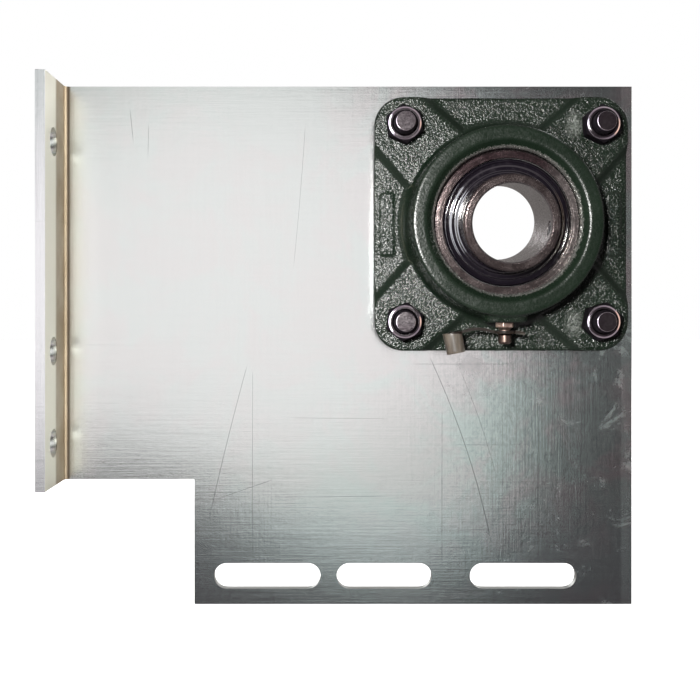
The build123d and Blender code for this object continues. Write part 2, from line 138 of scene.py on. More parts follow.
# Colours, in linear RGB
ZINC_COOL_LEFT = (0.82, 0.855, 0.835)
ZINC_COOL_RIGHT = (0.75, 0.855, 0.835)
ZINC_WARM_LEFT = (0.835, 0.84, 0.825)
ZINC_WARM_RIGHT = (0.86, 0.80, 0.815)
ZINC_SPECKLE = (0.45, 0.50, 0.50)
ZINC_LOW_END = (0.76, 0.865, 0.88)
FLANGE_CREAM = (0.88, 0.87, 0.78)
SCRATCH_GREY = (0.14, 0.16, 0.16)
STAIN_TAN = (0.31, 0.235, 0.145)
# Painted shade for the inner corner of the sheet's bend
BEND_SHADE_BROWN = (0.17, 0.135, 0.095)
CUT_GREY = (0.42, 0.43, 0.42)
# Painted highlight for the flange's front edge
EDGE_HIGHLIGHT = (0.98, 0.985, 1.0)
PAINT_DARK = (0.0038, 0.0078, 0.0044)
PAINT_LIGHT = (0.0064, 0.0115, 0.0070)
PAINT_WORN = (0.10, 0.105, 0.10)
# Painted highlight beside the right-hand nuts
PAINT_HIGHLIGHT_PALE = (0.20, 0.215, 0.195)
BARE_IRON = (0.30, 0.30, 0.28)
BACK_DUST = (0.20, 0.20, 0.19)
RING_DARK = (0.085, 0.066, 0.066)
RING_LIGHT = (0.165, 0.137, 0.135)
RING_GROOVE = (0.075, 0.058, 0.056)
RING_PIT = (0.035, 0.026, 0.026)
# Painted shade for the rings' top and painted highlight for their right side
RING_TOP_SHADE = (0.030, 0.014, 0.018)
RING_RIGHT_HIGHLIGHT = (0.38, 0.34, 0.33)
BORE_BRIGHT = (0.30, 0.285, 0.285)
SLINGER_BLACK = (0.004, 0.003, 0.005)
SLINGER_DUST = (0.016, 0.012, 0.016)
NUT_DARK = (0.40, 0.35, 0.40)
NUT_LIGHT = (0.54, 0.49, 0.52)
BOLT_DARK = (0.34, 0.29, 0.32)
BOLT_LIGHT = (0.46, 0.42, 0.44)
# Grime and painted shade for the nuts' corners and the bolts' sides
GRIME_AND_SHADE = (0.005, 0.004, 0.005)
BRASS_DARK = (0.52, 0.36, 0.29)
BRASS_LIGHT = (0.88, 0.70, 0.60)
BRASS_TIP = (0.070, 0.048, 0.042)
OXIDE_DARK = (0.03, 0.03, 0.035)
OXIDE_LIGHT = (0.07, 0.07, 0.075)
CAGE_DARK = (0.40, 0.40, 0.40)
CAGE_LIGHT = (0.60, 0.60, 0.60)
BALL_DARK = (0.62, 0.62, 0.64)
BALL_LIGHT = (0.74, 0.74, 0.76)
RUBBER_DARK = (0.012, 0.012, 0.012)
RUBBER_LIGHT = (0.030, 0.029, 0.028)
CAP_DARK = (0.066, 0.056, 0.044)
CAP_LIGHT = (0.125, 0.108, 0.086)
CAP_CLOUD = (0.090, 0.064, 0.056)
STRAP_DARK_TONE = (0.016, 0.012, 0.010)
FLOOR_PALE = (0.8, 0.8, 0.8)


# Node helpers


def put(tree, kind, props=None, **inputs):
    """Add a node, set its properties and inputs, and link the inputs that are sockets."""
    made = tree.nodes.new(kind)
    for key, value in (props or {}).items():
        setattr(made, key, value)
    for key, value in inputs.items():
        wire(tree, made.inputs[key.replace("_", " ")], value)
    return made


def wire(tree, socket, value):
    """Link a socket or set its value. A colour may be given without its alpha."""
    if isinstance(value, bpy.types.NodeSocket):
        tree.links.new(value, socket)
    elif socket.type == "RGBA" and len(value) == 3:
        socket.default_value = (*value, 1)
    else:
        socket.default_value = value


def calc(tree, operation, first, second=0.0, third=0.0):
    """A math node's output."""
    made = tree.nodes.new("ShaderNodeMath")
    made.operation = operation
    for socket, value in zip(made.inputs, (first, second, third)):
        wire(tree, socket, value)
    return made.outputs[0]


def times(tree, first, *others):
    """The product of several values."""
    for other in others:
        first = calc(tree, "MULTIPLY", first, other)
    return first


def plus(tree, first, second):
    """The sum of two values."""
    return calc(tree, "ADD", first, second)


def minus(tree, first, second):
    """The first value less the second."""
    return calc(tree, "SUBTRACT", first, second)


def scaled_plus(tree, value, factor, added):
    """A value times a factor, with something added."""
    return calc(tree, "MULTIPLY_ADD", value, factor, added)


def diagonal(tree, first, second):
    """The length of a line from its runs along two axes."""
    return calc(tree, "SQRT", plus(tree, times(tree, first, first), times(tree, second, second)))


def below(tree, value, limit):
    """1 where a value is under a limit and 0 elsewhere."""
    return calc(tree, "LESS_THAN", value, limit)


def above(tree, value, limit):
    """1 where a value is over a limit and 0 elsewhere."""
    return calc(tree, "GREATER_THAN", value, limit)


def remap(tree, value, low, high, to_low=0.0, to_high=1.0):
    """A value brought from one range to another and kept inside it, with soft ends."""
    made = put(tree, "ShaderNodeMapRange", {"interpolation_type": "SMOOTHSTEP"})
    for socket, number in zip(made.inputs[:5], (value, low, high, to_low, to_high)):
        wire(tree, socket, number)
    return made.outputs["Result"]


def mix(tree, share, first, second):
    """Two colours mixed by a share."""
    made = put(tree, "ShaderNodeMix", {"data_type": "RGBA"})
    wire(tree, made.inputs[0], share)
    wire(tree, made.inputs[6], first)
    wire(tree, made.inputs[7], second)
    return made.outputs[2]


def here(tree):
    """The point in the CAD frame."""
    return tree.nodes.new("ShaderNodeTexCoord").outputs["Object"]


def along_axes(tree, point):
    """A point's x, y and z."""
    return put(tree, "ShaderNodeSeparateXYZ", Vector=point).outputs[:3]


def facing_back(tree):
    """The y of the direction that the surface faces: -1 to the front, 1 to the back."""
    facing = tree.nodes.new("ShaderNodeNewGeometry").outputs["True Normal"]
    return along_axes(tree, facing)[1]


def stretched(tree, point, scale):
    """The point scaled by a different number on each axis."""
    made = put(tree, "ShaderNodeMapping", Vector=point)
    made.inputs["Scale"].default_value = scale
    return made.outputs[0]


def shifted(tree, point, far):
    """The point moved sideways, so that a second noise doesn't follow the first."""
    made = put(tree, "ShaderNodeMapping", Vector=point)
    made.inputs["Location"].default_value = (far, far, far)
    return made.outputs[0]


def grain(tree, point, scale, detail=3.0, rough=0.55, distort=0.0):
    """A noise texture's value."""
    made = put(tree, "ShaderNodeTexNoise", Vector=point, Scale=scale, Detail=detail, Roughness=rough)
    made.inputs["Distortion"].default_value = distort
    return made.outputs[0]


def bump(tree, height, strength, distance, over=None):
    """A bump normal, over another one if it is given."""
    made = put(tree, "ShaderNodeBump", Height=height, Strength=strength, Distance=distance)
    if over is not None:
        wire(tree, made.inputs["Normal"], over)
    return made.outputs[0]


def new_material(name):
    """A new material, with its tree and its shader."""
    made = bpy.data.materials.new(name)
    made.use_nodes = True
    return made, made.node_tree, made.node_tree.nodes["Principled BSDF"]


# Materials


def galvanised():
    """Zinc-coated sheet: brushed both ways, cloudy, scratched, stained beside its bend, with painted shade
    in the bend's inner corner.
    """
    made, tree, shader = new_material("galvanised_sheet")
    point = here(tree)
    x, y, z = along_axes(tree, point)
    facing = facing_back(tree)

    on_front = below(tree, calc(tree, "ABSOLUTE", minus(tree, y, PLATE_FRONT)), 0.2 * MM)
    on_flange = remap(tree, x, FLANGE_INNER_X + 0.6 * MM, FLANGE_INNER_X + 0.1 * MM)
    on_flange = times(tree, on_flange, remap(tree, facing, -0.8, -0.5))
    on_cut = remap(tree, calc(tree, "ABSOLUTE", facing), 0.5, 0.2)
    on_cut = times(tree, on_cut, above(tree, x, FLANGE_INNER_X + 5.0 * MM))
    on_edge_highlight = below(tree, y, PLATE_LOW.y + 0.8 * MM)
    in_bend_shade = bend_corner_shade(tree, x, y)
    to_right = remap(tree, x, -90 * MM, 45 * MM)
    to_bottom = remap(tree, z, -105 * MM, -150 * MM, 0.0, 0.6)
    scratched = times(tree, scratches(tree, x, z), on_front)

    upright = grain(tree, stretched(tree, point, (1, 1, 0.03)), 1100, 3, 0.7)
    level = grain(tree, stretched(tree, point, (0.03, 1, 1)), 1100, 3, 0.7)
    lines = plus(tree, remap(tree, upright, 0.3, 0.75), remap(tree, level, 0.3, 0.75))
    broad_upright = grain(tree, stretched(tree, point, (1, 1, 0.06)), 160, 3, 0.6)
    broad_level = grain(tree, stretched(tree, point, (0.06, 1, 1)), 180, 3, 0.6)
    bands = plus(tree, broad_upright, broad_level)
    cloud = grain(tree, point, 34, 4, 0.6, 0.6)
    fine_cloud = grain(tree, point, 110, 5, 0.65)
    blot = grain(tree, shifted(tree, point, 3.0), 60, 5, 0.7, 1.2)
    speck = grain(tree, point, 750, 2, 0.5)

    cool = mix(tree, to_right, ZINC_COOL_LEFT, ZINC_COOL_RIGHT)
    warm = mix(tree, to_right, ZINC_WARM_LEFT, ZINC_WARM_RIGHT)
    tint = mix(tree, remap(tree, cloud, 0.40, 0.62), cool, warm)
    speckle = times(tree, remap(tree, speck, 0.4, 0.7, 0.0, 0.25), remap(tree, to_right, 0.2, 0.8))
    tint = mix(tree, speckle, tint, ZINC_SPECKLE)
    tint = mix(tree, to_bottom, tint, ZINC_LOW_END)
    tint = mix(tree, on_flange, tint, FLANGE_CREAM)
    tint = mix(tree, times(tree, scratched, 0.42), tint, SCRATCH_GREY)
    tint = mix(tree, bend_stain(tree, point, x, y), tint, STAIN_TAN)
    # Painted shade: the inner corner of the bend is darkened to brown
    tint = mix(tree, times(tree, in_bend_shade, 0.9), tint, BEND_SHADE_BROWN)
    tint = mix(tree, on_cut, tint, CUT_GREY)
    # Painted highlight: the flange's front edge is near white, lighter than the grey of the other cut edges
    tint = mix(tree, on_edge_highlight, tint, EDGE_HIGHLIGHT)
    wire(tree, shader.inputs["Base Color"], tint)
    shader.inputs["Metallic"].default_value = 1.0

    worn_edge = remap(tree, x, PLATE_HIGH.x - 5.0 * MM, PLATE_HIGH.x - 4.2 * MM, 0.0, 0.04)
    smudge = times(tree, remap(tree, blot, 0.55, 0.70, 0.0, 0.12), to_right)
    rough = plus(tree, scaled_plus(tree, lines, 0.016, 0.204), plus(tree, worn_edge, smudge))
    rough = scaled_plus(tree, calc(tree, "MAXIMUM", on_flange, in_bend_shade), 0.24, rough)
    rough = scaled_plus(tree, on_cut, 0.30, rough)
    wire(tree, shader.inputs["Roughness"], rough)

    height = plus(tree, times(tree, lines, 0.6), times(tree, speck, 0.6))
    height = minus(tree, height, times(tree, scratched, 0.8))
    normal = bump(tree, height, 0.25, 0.05 * MM)
    soft = plus(tree, fine_cloud, times(tree, bands, 0.35))
    normal = bump(tree, soft, 0.15, 0.35 * MM, normal)
    wire(tree, shader.inputs["Normal"], normal)
    return made


def scratches(tree, x, z):
    """1 on the thin lines dragged down or across the sheet and 0 off them."""
    total = 0.0
    for marks, along, side in ((SCRATCHES_DOWN, z, x), (SCRATCHES_ACROSS, x, z)):
        for mark in marks:
            total = calc(tree, "MAXIMUM", total, one_scratch(tree, along, side, mark))
    return total


def one_scratch(tree, along, side, mark):
    """One scratch, a shallow curve faded at both ends."""
    at_side, at_along, slope, bend, (low, high), width = mark
    run = minus(tree, along, at_along * MM)
    line = scaled_plus(tree, run, slope, at_side * MM)
    line = scaled_plus(tree, times(tree, run, run), bend / MM, line)
    off = calc(tree, "ABSOLUTE", minus(tree, side, line))
    on_line = remap(tree, off, width * MM, 0.4 * width * MM)
    from_low = remap(tree, along, low * MM, (low + 8) * MM)
    from_high = remap(tree, along, high * MM, (high - 5) * MM)
    return times(tree, on_line, times(tree, from_low, from_high))


def bend_stain(tree, point, x, y):
    """A tan band on the flange's inner face beside the bend."""
    on_face = remap(tree, x, FLANGE_INNER_X + 2.8 * MM, FLANGE_INNER_X + 1.5 * MM)
    inside = remap(tree, x, FLANGE_INNER_X - 0.5 * MM, FLANGE_INNER_X - 0.2 * MM)
    near_bend = remap(tree, y, PLATE_FRONT - 17.5 * MM, PLATE_FRONT - 14 * MM, 0.0, 0.88)
    patchy = remap(tree, grain(tree, point, 60, 4, 0.6), 0.25, 0.7, 0.7, 1.0)
    return times(tree, on_face, near_bend, times(tree, patchy, inside))


def bend_corner_shade(tree, x, y):
    """Painted shade: 1 in the inner corner of the bend, which is darkened there, and 0 elsewhere."""
    beside = remap(tree, x, FLANGE_INNER_X + 2.6 * MM, FLANGE_INNER_X + 1.6 * MM)
    deep = remap(tree, y, PLATE_FRONT - 2.8 * MM, PLATE_FRONT - 1.6 * MM)
    before = below(tree, y, PLATE_FRONT + 0.05 * MM)
    inside = above(tree, x, FLANGE_INNER_X - 0.05 * MM)
    return times(tree, beside, deep, before, inside)


def green_iron():
    """Dark green enamel on rough cast iron, thin on the high spots and bare at the edge of the seat."""
    made, tree, shader = new_material("green_enamel")
    point = here(tree)
    x, y, z = along_axes(tree, point)
    from_axis = diagonal(tree, x, z)

    patch = grain(tree, point, 45, 4, 0.6)
    fine = grain(tree, point, 700, 4, 0.65)
    grit = grain(tree, point, 1450, 2, 0.5, 0.3)
    cells = {"feature": "SMOOTH_F1"}
    pebble = put(tree, "ShaderNodeTexVoronoi", cells, Vector=point, Scale=1250.0, Smoothness=0.4)
    ragged = scaled_plus(tree, grain(tree, point, 1500, 3, 0.7), 3.0 * MM, from_axis)

    flat = remap(tree, times(tree, facing_back(tree), -1.0), 0.72, 0.90)
    rough_cast = times(tree, flat, remap(tree, from_axis, BOSS_R, BOSS_R + 2.0 * MM, 0.08, 1.0))
    bare = times(tree, remap(tree, ragged, BARE_EDGE_R + 0.5 * MM, BARE_EDGE_R), below(tree, y, 10 * MM))
    worn = times(tree, remap(tree, grit, 0.55, 0.72, 0.0, 0.3), rough_cast)
    nut_highlight = times(tree, nut_side_highlight(tree, x, z), remap(tree, grit, 0.35, 0.62, 0.15, 1.0))
    dusty = above(tree, y, PLATE_FRONT - 0.6 * MM)

    colour = mix(tree, remap(tree, patch, 0.3, 0.7), PAINT_DARK, PAINT_LIGHT)
    colour = mix(tree, worn, colour, PAINT_WORN)
    # Painted highlight: pale patches beside the right-hand nuts
    colour = mix(tree, times(tree, nut_highlight, flat), colour, PAINT_HIGHLIGHT_PALE)
    colour = mix(tree, bare, colour, BARE_IRON)
    colour = mix(tree, times(tree, dusty, 0.6), colour, BACK_DUST)
    wire(tree, shader.inputs["Base Color"], colour)
    wire(tree, shader.inputs["Metallic"], times(tree, bare, 0.9))

    gloss = remap(tree, fine, 0.3, 0.7, 0.16, 0.25)
    on_boss = remap(tree, from_axis, BOSS_R + 2.0 * MM, BOSS_R, 0.0, 0.07)
    wire(tree, shader.inputs["Roughness"], plus(tree, gloss, on_boss))
    shader.inputs["Specular IOR Level"].default_value = 0.31

    height = minus(tree, grit, times(tree, pebble.outputs["Distance"], 0.7))
    depth = plus(tree, times(tree, calc(tree, "MAXIMUM", rough_cast, bare), 0.5), 0.08)
    wire(tree, shader.inputs["Normal"], bump(tree, height, depth, 0.46 * MM))
    return made


def nut_side_highlight(tree, x, z):
    """Painted highlight: pale patches on the paint to the left of the right-hand nuts."""
    beside = minus(tree, x, BOLT_X - 10.8 * MM)
    level_gap = minus(tree, calc(tree, "ABSOLUTE", z), BOLT_X + 0.5 * MM)
    gap = diagonal(tree, times(tree, beside, 1.6), level_gap)
    return remap(tree, gap, 8.0 * MM, 0.0, 0.0, 0.5)


def turned_steel():
    """Ground ring steel, tarnished pink-brown, with fine rings about the shaft's axis and small pits,
    painted shade across its top and a painted highlight on its right side.
    """
    made, tree, shader = new_material("ring_steel")
    point = here(tree)
    x, y, z = along_axes(tree, point)
    forward = plus(tree, times(tree, y, INSERT_FRONT.y), times(tree, z, INSERT_FRONT.z))
    upward = plus(tree, times(tree, y, INSERT_UP.y), times(tree, z, INSERT_UP.z))
    radius = diagonal(tree, x, upward)

    rings = put(tree, "ShaderNodeCombineXYZ", X=radius, Y=forward).outputs[0]
    turned = grain(tree, rings, 2600, 3, 0.6)
    broad = grain(tree, rings, 500, 3, 0.6)
    film = grain(tree, point, 130, 5, 0.65, 0.6)
    pits = grain(tree, point, 900, 4, 0.7)

    on_outer = remap(tree, radius, RING_BORE_R, RING_BORE_R + 1.0 * MM)
    # Painted shade: the ring darkens towards its top
    top_shade = times(tree, remap(tree, z, 6 * MM, 26 * MM), on_outer)
    # Painted highlight: the ring lightens towards its right
    right_highlight = times(tree, remap(tree, x, 14 * MM, 27 * MM), on_outer)
    in_bore = remap(tree, radius, BORE_EDGE_R + 0.5 * MM, BORE_EDGE_R, 0.0, 0.6)

    colour = mix(tree, remap(tree, film, 0.3, 0.7), RING_DARK, RING_LIGHT)
    colour = mix(tree, remap(tree, turned, 0.35, 0.7, 0.0, 0.4), colour, RING_GROOVE)
    colour = mix(tree, remap(tree, pits, 0.50, 0.66, 0.0, 0.85), colour, RING_PIT)
    colour = mix(tree, times(tree, top_shade, 0.75), colour, RING_TOP_SHADE)
    colour = mix(tree, in_bore, colour, BORE_BRIGHT)
    colour = mix(tree, times(tree, right_highlight, 0.6), colour, RING_RIGHT_HIGHLIGHT)
    wire(tree, shader.inputs["Base Color"], colour)
    shader.inputs["Metallic"].default_value = 0.9

    rough = plus(tree, remap(tree, film, 0.25, 0.75, 0.17, 0.24), remap(tree, pits, 0.45, 0.7, 0.0, 0.12))
    wire(tree, shader.inputs["Roughness"], rough)
    height = plus(tree, times(tree, turned, 2.2), times(tree, broad, 1.2))
    height = minus(tree, height, times(tree, pits, 1.6))
    wire(tree, shader.inputs["Normal"], bump(tree, height, 0.5, 0.07 * MM))
    return made


def black_gloss():
    """Glossy black coating on the pressed slingers, with faint dust."""
    made, tree, shader = new_material("black_gloss")
    point = here(tree)
    dust = grain(tree, point, 350, 4, 0.7)
    colour = mix(tree, remap(tree, dust, 0.5, 0.8, 0.0, 0.4), SLINGER_BLACK, SLINGER_DUST)
    wire(tree, shader.inputs["Base Color"], colour)
    wire(tree, shader.inputs["Roughness"], remap(tree, dust, 0.3, 0.75, 0.07, 0.17))
    shader.inputs["Specular IOR Level"].default_value = 0.9
    wire(tree, shader.inputs["Normal"], bump(tree, grain(tree, point, 800, 3, 0.6), 0.12, 0.05 * MM))
    return made


def worn_metal(name, dark, light, rough, scale=160, grime_shade_r=None, dark_below=None):
    """A small metal part: two tones and uneven gloss, with grime and painted shade outside a radius from
    the bolts, or a dark lower end, if asked.
    """
    made, tree, shader = new_material(name)
    point = here(tree)
    x, y, z = along_axes(tree, point)
    film = grain(tree, point, scale, 5, 0.65, 0.5)
    fine = grain(tree, point, scale * 9, 4, 0.65)
    tool = grain(tree, stretched(tree, point, (1, 0.1, 1)), scale * 14, 3, 0.6)
    colour = mix(tree, remap(tree, film, 0.3, 0.7), dark, light)
    grime_and_shade = 0.0
    if dark_below is not None:
        low_end = remap(tree, z, dark_below, dark_below - 0.5 * MM, 0.0, 0.88)
        colour = mix(tree, low_end, colour, BRASS_TIP)
    if grime_shade_r is not None:
        grime_and_shade = bolt_grime_and_shade(tree, x, y, z, grime_shade_r)
        # Grime and painted shade: near black outside the radius from the bolt's axis
        colour = mix(tree, grime_and_shade, colour, GRIME_AND_SHADE)
    wire(tree, shader.inputs["Base Color"], colour)
    wire(tree, shader.inputs["Metallic"], minus(tree, 1.0, grime_and_shade))
    gloss = remap(tree, fine, 0.25, 0.75, rough, rough + 0.08)
    wire(tree, shader.inputs["Roughness"], scaled_plus(tree, grime_and_shade, 0.6, gloss))
    wire(tree, shader.inputs["Specular IOR Level"], scaled_plus(tree, grime_and_shade, -0.48, 0.5))
    height = plus(tree, fine, times(tree, tool, 0.7))
    wire(tree, shader.inputs["Normal"], bump(tree, height, 0.10, 0.05 * MM))
    return made


def bolt_grime_and_shade(tree, x, y, z, radius):
    """Grime and painted shade on the bolts and nuts, near black on the nuts' corners and the bolts' sides:
    1 in front of the pads outside a radius from the nearest bolt's axis.
    """
    across = minus(tree, calc(tree, "ABSOLUTE", x), BOLT_X)
    upward = minus(tree, calc(tree, "ABSOLUTE", z), BOLT_X)
    outside = remap(tree, diagonal(tree, across, upward), radius, radius + 0.12 * MM)
    return times(tree, outside, below(tree, y, PAD_Y))


def seal_rubber():
    """Matt black rubber."""
    made, tree, shader = new_material("seal_rubber_finish")
    fine = grain(tree, here(tree), 700, 4, 0.6)
    wire(tree, shader.inputs["Base Color"], mix(tree, fine, RUBBER_DARK, RUBBER_LIGHT))
    wire(tree, shader.inputs["Roughness"], remap(tree, fine, 0.3, 0.7, 0.5, 0.68))
    wire(tree, shader.inputs["Normal"], bump(tree, fine, 0.3, 0.08 * MM))
    return made


def cap_plastic():
    """Cloudy, slightly translucent moulded plastic with faint draw marks, darker and less shiny from the
    strap upwards.
    """
    made, tree, shader = new_material("cloudy_plastic")
    point = here(tree)
    marks = grain(tree, stretched(tree, point, (1, 1, 0.12)), 520, 3, 0.55)
    cloud = grain(tree, point, 160, 4, 0.6)
    strap_dark_share = remap(tree, along_axes(tree, point)[2], STRAP_Z - 0.2 * MM, STRAP_Z + 0.1 * MM)
    colour = mix(tree, remap(tree, marks, 0.35, 0.7), CAP_DARK, CAP_LIGHT)
    colour = mix(tree, remap(tree, cloud, 0.4, 0.75, 0.0, 0.5), colour, CAP_CLOUD)
    # Darker from the strap upwards
    colour = mix(tree, strap_dark_share, colour, STRAP_DARK_TONE)
    wire(tree, shader.inputs["Base Color"], colour)
    wire(tree, shader.inputs["Specular IOR Level"], scaled_plus(tree, strap_dark_share, -0.38, 0.5))
    wire(tree, shader.inputs["Roughness"], remap(tree, cloud, 0.3, 0.7, 0.38, 0.52))
    shader.inputs["Subsurface Weight"].default_value = 0.25
    shader.inputs["Subsurface Radius"].default_value = (1.2 * MM, 0.9 * MM, 0.6 * MM)
    shader.inputs["Subsurface Scale"].default_value = 1.0
    wire(tree, shader.inputs["Normal"], bump(tree, marks, 0.25, 0.12 * MM))
    return made


# Geometry


def clean_copy(node):
    """A welded copy of a CAD node's mesh, as a bmesh."""
    work = bmesh.new()
    work.from_mesh(frame["nodes"][node].data)
    bmesh.ops.remove_doubles(work, verts=work.verts, dist=0.002 * MM)
    bmesh.ops.dissolve_degenerate(work, edges=work.edges, dist=0.001 * MM)
    return work


def new_piece(name, work):
    """An object made from a bmesh, linked to the scene."""
    mesh = bpy.data.meshes.new(name)
    work.to_mesh(mesh)
    work.free()
    made = bpy.data.objects.new(name, mesh)
    bpy.context.scene.collection.objects.link(made)
    return made


def apply_modifiers(piece):
    """Replace a piece's mesh with what its modifiers make of it."""
    graph = bpy.context.evaluated_depsgraph_get()
    shaped = bpy.data.meshes.new_from_object(piece.evaluated_get(graph))
    piece.modifiers.clear()
    piece.data = shaped


def smooth_but(piece, degrees):
    """Shade a piece smooth, with edges sharper than an angle kept."""
    piece.data.polygons.foreach_set("use_smooth", [True] * len(piece.data.polygons))
    piece.data.set_sharp_from_angle(angle=radians(degrees))


def stand_for(piece, node, material, body):
    """Finish a piece that replaces one CAD node."""
    piece.data.materials.clear()
    piece.data.materials.append(material)
    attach(piece, body)
    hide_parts(node)


def softened(node, width, body, material, angle=32, segments=2):
    """A copy of a CAD node with its sharp edges rounded by a small bevel."""
    piece = new_piece(node + "_finish", clean_copy(node))
    edge = piece.modifiers.new("edge", "BEVEL")
    edge.width = width
    edge.segments = segments
    edge.limit_method = "ANGLE"
    edge.angle_limit = radians(angle)
    edge.use_clamp_overlap = True
    apply_modifiers(piece)
    smooth_but(piece, 40)
    flats = piece.modifiers.new("flats", "WEIGHTED_NORMAL")
    flats.keep_sharp = True
    flats.weight = 100
    apply_modifiers(piece)
    stand_for(piece, node, material, body)
    return piece


def rough_share(point, normal):
    """How rough the casting is at a point, from 0 to 1: least at the seat and back, most on its pads."""
    from_axis = sqrt(point.x**2 + point.z**2)
    if from_axis < SEAT_R + 1.5 * MM or point.y > PLATE_FRONT - 0.5 * MM:
        return 0.05
    if normal.y < -0.86:
        return 0.15 if point.y < RIM_Y + 2 * MM else 0.6
    return 0.12 if from_axis < BOSS_R + 3 * MM or normal.y < -0.3 else 0.5


def plain_bar(point):
    """The height share of the plain raised bar in each side pocket."""
    across = abs(abs(point.x) - BAR_X) - BAR_HALF_WIDTH
    along = abs(point.z) - BAR_HALF_LENGTH
    outside = sqrt(max(across, 0) ** 2 + max(along, 0) ** 2)
    return min(1.0, max(0.0, 1.0 - (outside - 1.0 * MM) / (0.7 * MM)))


def cast_height(point, normal):
    """How far the cast skin stands out from the CAD surface at a point.

    It has lumps about 1.3 mm wide on swells about 8 mm wide, and a plain bar in each side pocket.
    """
    lumps = noise.noise(point * 750)
    broad = noise.noise(point * 130)
    height = rough_share(point, normal) * (0.16 * lumps - 0.05) + 0.07 * broad
    if normal.y < -0.6 and PAD_Y + 1.5 * MM < point.y < PLATE_FRONT - 2 * MM:
        height += 0.7 * plain_bar(point)
    return height * MM


def cast_point(point, normal):
    """Where a point of the CAD surface goes: the seat clears the ring and the rest gets the cast skin."""
    from_axis = sqrt(point.x**2 + point.z**2)
    if from_axis < SEAT_R and abs(point.y) < SEAT_HALF_LENGTH:
        out = Vector((point.x, 0, point.z)) / from_axis
        return point + out * 0.12 * MM
    return point + normal * cast_height(point, normal)


def cast_housing(material):
    """The housing with rounded cast edges and a rough skin, over the CAD solid."""
    piece = new_piece("housing_casting", clean_copy("housing"))
    even = piece.modifiers.new("even", "REMESH")
    even.mode = "VOXEL"
    even.voxel_size = CAST_VOXEL
    apply_modifiers(piece)
    relax = piece.modifiers.new("relax", "SMOOTH")
    relax.factor = 0.5
    relax.iterations = 3
    apply_modifiers(piece)
    mesh = piece.data
    moved = [length for vertex in mesh.vertices for length in cast_point(vertex.co, vertex.normal)]
    mesh.vertices.foreach_set("co", moved)
    mesh.update()
    smooth_but(piece, 80)
    stand_for(piece, "housing", material, "bracket")
    return piece


def ease(start, width, radius):
    """A smooth step from 0 to 1 over a width that starts at a radius."""
    share = min(1.0, max(0.0, (radius - start) / width))
    return share * share * (3 - 2 * share)


def slinger_face(radius):
    """How far forward the slinger's face stands at a radius, in mm."""
    return SLINGER_COLLAR + sum(rise * ease(start, width, radius) for start, width, rise in SLINGER_ROLLS)


def pressed_slinger(node, side, material):
    """A slinger turned about the shaft's axis: side is 1 for the front one and -1 for the rear one."""
    width = SLINGER_OUTER_R - SLINGER_INNER_R
    radii = [SLINGER_INNER_R + width * step / SLINGER_STEPS for step in range(SLINGER_STEPS + 1)]
    face = [(radius, slinger_face(radius)) for radius in radii]
    back = [(radius, max(SLINGER_REAR, forward - SLINGER_SHEET)) for radius, forward in reversed(face[::4])]
    work = bmesh.new()
    loops = []
    for radius, forward in face + back:
        level = INSERT_FRONT * (side * forward)
        loop = []
        for step in range(SLINGER_SIDES):
            turn = 2 * pi * step / SLINGER_SIDES
            spoke = INSERT_UP * (radius * cos(turn)) + Vector((radius * sin(turn), 0, 0))
            loop.append(work.verts.new((level + spoke) * MM))
        loops.append(loop)
    for one, other in zip(loops, loops[1:] + loops[:1]):
        for step in range(SLINGER_SIDES):
            after = (step + 1) % SLINGER_SIDES
            work.faces.new((one[step], one[after], other[after], other[step]))
    bmesh.ops.recalc_face_normals(work, faces=work.faces)
    piece = new_piece(node + "_rolled", work)
    smooth_but(piece, 50)
    stand_for(piece, node, material, "inner_race")
    return piece


def make_pieces():
    """Finish every CAD node. Returns the sheet, the casting and the small pieces with their own lamps."""
    nut_zinc = worn_metal("nut_zinc", NUT_DARK, NUT_LIGHT, 0.09, grime_shade_r=NUT_GRIME_SHADE_R)
    bolt_zinc = worn_metal("bolt_zinc", BOLT_DARK, BOLT_LIGHT, 0.12, grime_shade_r=BOLT_GRIME_SHADE_R)
    sheet = galvanised()
    ring = turned_steel()
    gloss = black_gloss()
    rubber = seal_rubber()
    brass = worn_metal("nipple_brass_finish", BRASS_DARK, BRASS_LIGHT, 0.36, 300, dark_below=NIPPLE_TIP_Z)
    oxide = worn_metal("black_oxide", OXIDE_DARK, OXIDE_LIGHT, 0.30)
    cage = worn_metal("cage_steel_finish", CAGE_DARK, CAGE_LIGHT, 0.25)
    ball = worn_metal("ball_steel_finish", BALL_DARK, BALL_LIGHT, 0.08)
    plastic = cap_plastic()

    shiny = []
    plate = softened("bracket_plate", 0.32 * MM, "bracket", sheet)
    casting = cast_housing(green_iron())
    for number in range(1, 5):
        shiny.append(softened(f"nut_{number}", 0.30 * MM, "bracket", nut_zinc, 20, 4))
        shiny.append(softened(f"bolt_{number}", 0.22 * MM, "bracket", bolt_zinc, 25, 4))
    shiny.append(softened("outer_ring", 0.15 * MM, "outer_race", ring, 30))
    softened("inner_ring", 0.12 * MM, "inner_race", ring, 30)
    shiny.append(pressed_slinger("front_slinger", 1, gloss))
    shiny.append(pressed_slinger("rear_slinger", -1, gloss))
    softened("nipple_body", 0.12 * MM, "bracket", brass, 25)
    softened("dust_cap", 0.25 * MM, "nipple_cap", plastic, 35)

    kept = {
        "front_seal": rubber,
        "rear_seal": rubber,
        "cage_front": cage,
        "cage_rear": cage,
        "cage_rivets": cage,
        "nipple_ball": ball,
        "nipple_spring": ball,
        "set_screw_1": oxide,
        "set_screw_2": oxide,
    }
    for number in range(1, 10):
        kept[f"ball_{number}"] = ball
    for node, material in kept.items():
        mesh = frame["nodes"][node].data
        mesh.materials.clear()
        mesh.materials.append(material)
    return plate, casting, shiny


# Floor, light and camera


